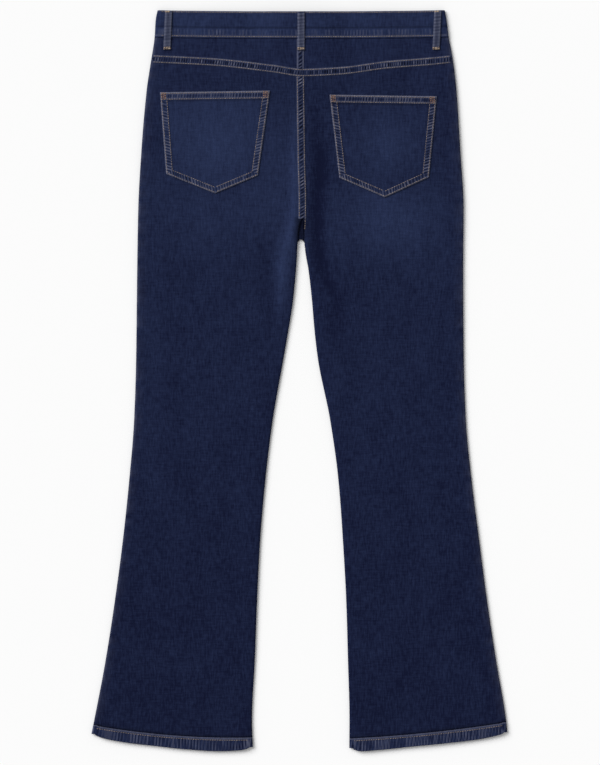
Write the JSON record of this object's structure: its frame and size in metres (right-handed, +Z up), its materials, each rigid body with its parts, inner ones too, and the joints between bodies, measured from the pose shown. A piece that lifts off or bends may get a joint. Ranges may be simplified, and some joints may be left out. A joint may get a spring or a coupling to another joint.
{
  "type": "bootcut jeans",
  "caption": "Bootcut denim jeans laid flat face down: yoke, patch pockets, belt loops, waistband and turned-up hems, legs widening below the knee.",
  "frame": {"origin": "middle of the garment's box, on the surface that it lies on", "axes": "+X to the wearer's right, +Y to the waist along the garment's length, +Z up, out of the back"},
  "size_m": [0.6034, 1.0744, 0.0132],
  "materials": {
    "denim": "dark indigo stretch denim, washed paler over the seat",
    "pocket_denim": "the same denim, worn paler",
    "band_denim": "the same denim with pale roped edges",
    "loop_denim": "the same denim, abraded grey",
    "thread": "tan and ecru topstitching thread",
    "zip_tape": "navy woven zip tape with a metal chain",
    "button_metal": "plain antique brass, satin"
  },
  "bodies": {
    "root": {"waistband": "band_denim", "yoke_left": "denim", "yoke_right": "denim", "back_left": "denim", "back_right": "denim", "pocket_left": "pocket_denim", "pocket_right": "pocket_denim", "front_left": "denim", "front_right": "denim", "hem_left": "band_denim", "hem_right": "band_denim", "loop_back_left": "loop_denim", "loop_back_centre": "loop_denim", "loop_back_right": "loop_denim", "loop_front_left": "loop_denim", "loop_front_right": "loop_denim", "zip": "zip_tape", "button": "button_metal"}
  },
  "joints": []
}
